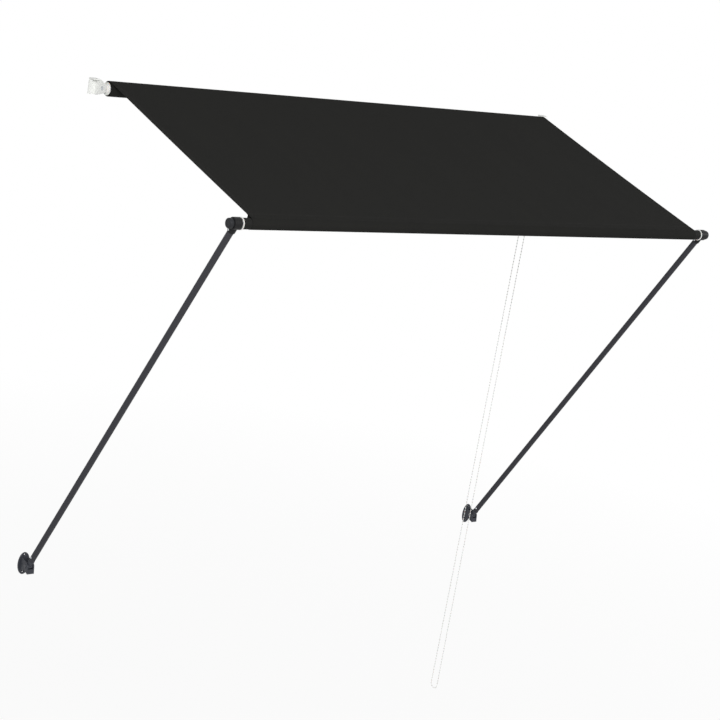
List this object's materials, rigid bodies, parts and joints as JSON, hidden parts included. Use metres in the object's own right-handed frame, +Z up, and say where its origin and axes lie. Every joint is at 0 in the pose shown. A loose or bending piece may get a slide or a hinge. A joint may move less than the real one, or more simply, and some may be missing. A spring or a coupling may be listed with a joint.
{
  "type": "drop arm awning",
  "caption": "Wall-mounted retractable awning: cloth on a chain-driven roller, front bar, and two straight arms hinged on the wall.",
  "frame": {"origin": "on the wall plane, half way along the roller, at the height of the roller's axis", "axes": "+X along the roller, +Y into the wall, +Z up; the awning stands out along -Y"},
  "size_m": [2.0924, 0.8844, 2.3773],
  "materials": {
    "cloth": "woven polyester",
    "white_nylon": "moulded",
    "white_powder_coat": "powder coat",
    "anthracite_powder_coat": "powder coat",
    "black_powder_coat": "powder coat",
    "dark_nylon": "moulded",
    "aluminium": "mill finish",
    "zinc_plated_steel": "zinc plated",
    "spring_steel": "oiled"
  },
  "bodies": {
    "wall_fixings": {"roller_bracket_left": "white_powder_coat", "roller_bracket_right": "white_powder_coat", "idle_pin": "zinc_plated_steel", "clutch_core": "white_nylon", "clutch_spring": "spring_steel", "clutch_guard": "white_nylon", "arm_bracket_left": "dark_nylon", "arm_bracket_right": "dark_nylon", "arm_pin_left": "zinc_plated_steel", "arm_pin_right": "zinc_plated_steel", "arm_pin_clip_left": "spring_steel", "arm_pin_clip_right": "spring_steel", "chain_loop": "white_nylon"},
    "roller": {"roller_tube": "aluminium", "cloth_roll": "cloth", "idle_plug": "white_nylon", "drive_sleeve": "white_nylon", "chain_wheel": "white_nylon"},
    "cloth": {"cloth_panel": "cloth"},
    "arm_left": {"arm_tube_left": "anthracite_powder_coat", "arm_head_left": "dark_nylon", "arm_foot_left": "dark_nylon", "head_rivet_left": "zinc_plated_steel", "foot_rivet_left": "zinc_plated_steel"},
    "arm_right": {"arm_tube_right": "anthracite_powder_coat", "arm_head_right": "dark_nylon", "arm_foot_right": "dark_nylon", "head_rivet_right": "zinc_plated_steel", "foot_rivet_right": "zinc_plated_steel"},
    "front_bar": {"bar_tube": "black_powder_coat", "cloth_hem": "cloth", "bar_plug_left": "white_nylon", "bar_plug_right": "white_nylon", "pivot_bolt_left": "zinc_plated_steel", "pivot_bolt_right": "zinc_plated_steel", "pivot_washer_left": "zinc_plated_steel", "pivot_washer_right": "zinc_plated_steel", "knob_left": "dark_nylon", "knob_right": "dark_nylon"}
  },
  "joints": [
    {"name": "arm_left_swing", "type": "hinge", "parent": "wall_fixings", "child": "arm_left", "pos_m": [-1.0178, -0.036, -1.59997], "axis": [1, 0, 0], "range_deg": [-29.1, 0], "deforming": ["cloth_panel"]},
    {"name": "arm_right_swing", "type": "hinge", "parent": "wall_fixings", "child": "arm_right", "pos_m": [1.0178, -0.036, -1.59997], "axis": [1, 0, 0], "range_deg": [-29.1, 0]},
    {"name": "bar_pivot", "type": "hinge", "parent": "arm_left", "child": "front_bar", "pos_m": [-1.0178, -0.86538, -0.23171], "axis": [1, 0, 0], "range_deg": [0, 14.55]},
    {"name": "cloth_tilt", "type": "hinge", "parent": "wall_fixings", "child": "cloth", "pos_m": [0, -0.045, 0], "axis": [1, 0, 0], "range_deg": [-14.55, 0]},
    {"name": "roller_spin", "type": "hinge", "parent": "wall_fixings", "child": "roller", "pos_m": [0, -0.045, 0], "axis": [1, 0, 0], "range_deg": [-1833.3, 0]}
  ],
  "couplings": [
    {"joint": "arm_right_swing", "follows": "arm_left_swing", "ratio": 1},
    {"joint": "bar_pivot", "follows": "arm_left_swing", "ratio": -0.5},
    {"joint": "cloth_tilt", "follows": "arm_left_swing", "ratio": 0.5},
    {"joint": "roller_spin", "follows": "arm_left_swing", "ratio": 63}
  ]
}
